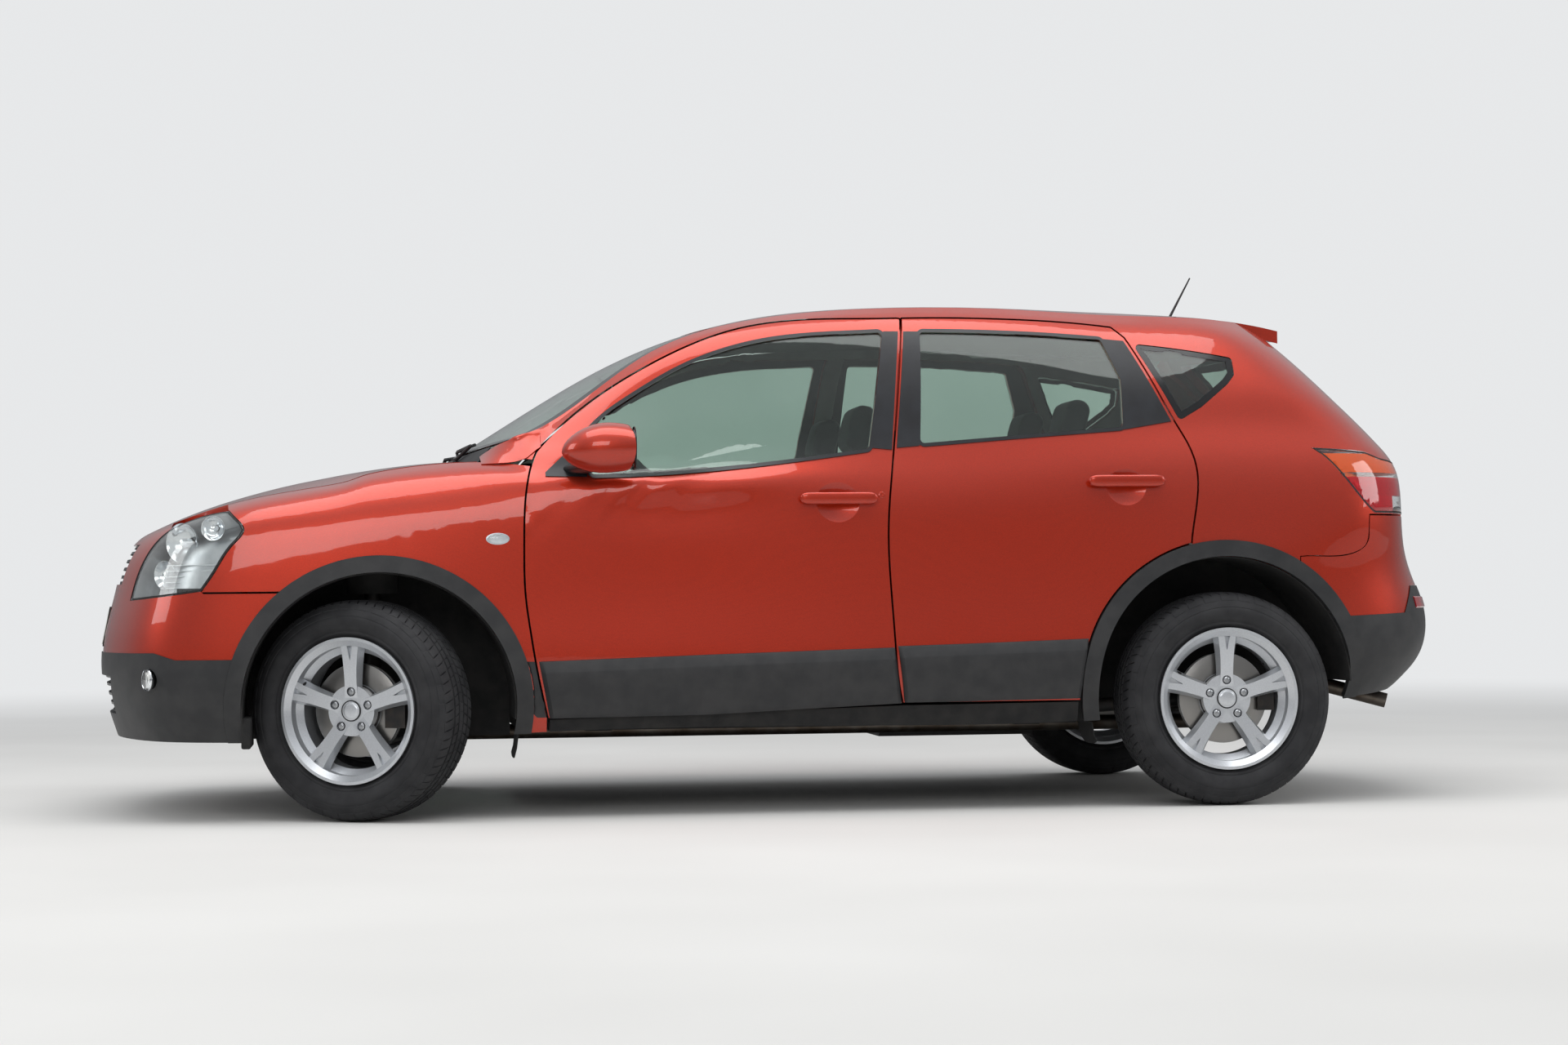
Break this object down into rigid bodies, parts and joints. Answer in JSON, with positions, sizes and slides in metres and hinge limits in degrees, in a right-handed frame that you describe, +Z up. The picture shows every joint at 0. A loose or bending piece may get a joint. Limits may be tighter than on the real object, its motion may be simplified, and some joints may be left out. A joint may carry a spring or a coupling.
{
  "type": "crossover suv",
  "caption": "Five-door crossover SUV with hinged doors, tailgate and bonnet, steered front wheels and rolling wheels.",
  "frame": {"origin": "on the ground, under the middle of the vehicle's length and width", "axes": "+X to the nose, +Y to the left, +Z up"},
  "size_m": [4.3153, 2.1212, 1.7351],
  "materials": {
    "body_paint": "metallic gloss",
    "rough_plastic": "matt",
    "satin_black": "satin",
    "window_glass": "clear",
    "headlamp_lens": "clear",
    "tail_lamp_lens": "gloss",
    "underbody_coat": "matt",
    "cast_metal": "cast",
    "black_steel": "satin",
    "exhaust_steel": "dull",
    "tank_plastic": "matt",
    "cabin_plastic": "grained",
    "seat_fabric": "woven",
    "alloy": "painted silver",
    "tyre_rubber": "rubber"
  },
  "bodies": {
    "chassis": {"underbody": "underbody_coat", "door_pillars": "underbody_coat", "firewall": "underbody_coat", "boot_floor": "underbody_coat", "front_frame": "underbody_coat", "body_sides": "body_paint", "roof": "body_paint", "front_wings": "body_paint", "front_bumper": "body_paint", "front_lower_moulding": "rough_plastic", "rear_bumper": "body_paint", "rear_lower_moulding": "rough_plastic", "arch_mouldings": "rough_plastic", "grille": "satin_black", "headlamps": "headlamp_lens", "tail_lamps": "tail_lamp_lens", "windscreen": "window_glass", "quarter_glass": "window_glass", "wheel_liners": "rough_plastic", "engine": "cast_metal", "front_suspension": "black_steel", "rear_suspension": "black_steel", "exhaust": "exhaust_steel", "fuel_tank": "tank_plastic", "dashboard": "cabin_plastic", "front_seats": "seat_fabric", "rear_seat": "seat_fabric", "scuttle": "rough_plastic", "aerial": "rough_plastic"},
    "front_left_door": {"front_door_left": "body_paint", "front_door_left_glass": "window_glass", "front_door_left_trim": "satin_black", "mirror_left": "body_paint"},
    "front_right_door": {"front_door_right": "body_paint", "front_door_right_glass": "window_glass", "front_door_right_trim": "satin_black", "mirror_right": "body_paint"},
    "rear_left_door": {"rear_door_left": "body_paint", "rear_door_left_glass": "window_glass", "rear_door_left_trim": "satin_black"},
    "rear_right_door": {"rear_door_right": "body_paint", "rear_door_right_glass": "window_glass", "rear_door_right_trim": "satin_black"},
    "tailgate_lid": {"tailgate": "body_paint", "tailgate_glass": "window_glass", "rear_wiper": "rough_plastic"},
    "bonnet_lid": {"bonnet": "body_paint"},
    "steering": {"steering_wheel": "cabin_plastic"},
    "front_left_knuckle": {"knuckle_left": "black_steel"},
    "front_right_knuckle": {"knuckle_right": "black_steel"},
    "front_left_wheel": {"wheel_front_left": "alloy", "tyre_front_left": "tyre_rubber"},
    "front_right_wheel": {"wheel_front_right": "alloy", "tyre_front_right": "tyre_rubber"},
    "rear_left_wheel": {"wheel_rear_left": "alloy", "tyre_rear_left": "tyre_rubber"},
    "rear_right_wheel": {"wheel_rear_right": "alloy", "tyre_rear_right": "tyre_rubber"}
  },
  "joints": [
    {"name": "front_left_door_hinge", "type": "hinge", "parent": "chassis", "child": "front_left_door", "pos_m": [0.79, 0.871, 0.7], "axis": [0, 0, -1], "range_deg": [0, 68]},
    {"name": "front_right_door_hinge", "type": "hinge", "parent": "chassis", "child": "front_right_door", "pos_m": [0.79, -0.871, 0.7], "axis": [0, 0, 1], "range_deg": [0, 68]},
    {"name": "rear_left_door_hinge", "type": "hinge", "parent": "chassis", "child": "rear_left_door", "pos_m": [-0.3, 0.871, 0.7], "axis": [0, 0, -1], "range_deg": [0, 68]},
    {"name": "rear_right_door_hinge", "type": "hinge", "parent": "chassis", "child": "rear_right_door", "pos_m": [-0.3, -0.871, 0.7], "axis": [0, 0, 1], "range_deg": [0, 68]},
    {"name": "tailgate_hinge", "type": "hinge", "parent": "chassis", "child": "tailgate_lid", "pos_m": [-1.446, 0, 1.568], "axis": [0, 1, 0], "range_deg": [0, 80]},
    {"name": "bonnet_hinge", "type": "hinge", "parent": "chassis", "child": "bonnet_lid", "pos_m": [0.99, 0, 1.065], "axis": [0, -1, 0], "range_deg": [0, 50]},
    {"name": "front_left_steer", "type": "hinge", "parent": "chassis", "child": "front_left_knuckle", "pos_m": [1.305, 0.695, 0.331], "axis": [0, 0, 1], "range_deg": [-8, 62]},
    {"name": "front_right_steer", "type": "hinge", "parent": "chassis", "child": "front_right_knuckle", "pos_m": [1.305, -0.695, 0.331], "axis": [0, 0, 1], "range_deg": [-8, 62]},
    {"name": "steering_wheel_turn", "type": "hinge", "parent": "chassis", "child": "steering", "pos_m": [0.395, 0.36, 0.92], "axis": [-0.9063, 0, 0.4226], "range_deg": [-128, 992]},
    {"name": "front_left_wheel_spin", "type": "hinge", "parent": "front_left_knuckle", "child": "front_left_wheel", "pos_m": [1.33905, 0.76183, 0.331], "axis": [0.454, 0.891, 0], "continuous": true},
    {"name": "front_right_wheel_spin", "type": "hinge", "parent": "front_right_knuckle", "child": "front_right_wheel", "pos_m": [1.27095, -0.76183, 0.331], "axis": [0.454, 0.891, 0], "continuous": true},
    {"name": "rear_left_wheel_spin", "type": "hinge", "parent": "chassis", "child": "rear_left_wheel", "pos_m": [-1.325, 0.775, 0.331], "axis": [0, 1, 0], "continuous": true},
    {"name": "rear_right_wheel_spin", "type": "hinge", "parent": "chassis", "child": "rear_right_wheel", "pos_m": [-1.325, -0.775, 0.331], "axis": [0, 1, 0], "continuous": true}
  ],
  "couplings": [
    {"joint": "front_right_steer", "follows": "front_left_steer", "ratio": 1},
    {"joint": "steering_wheel_turn", "follows": "front_left_steer", "ratio": 16}
  ]
}
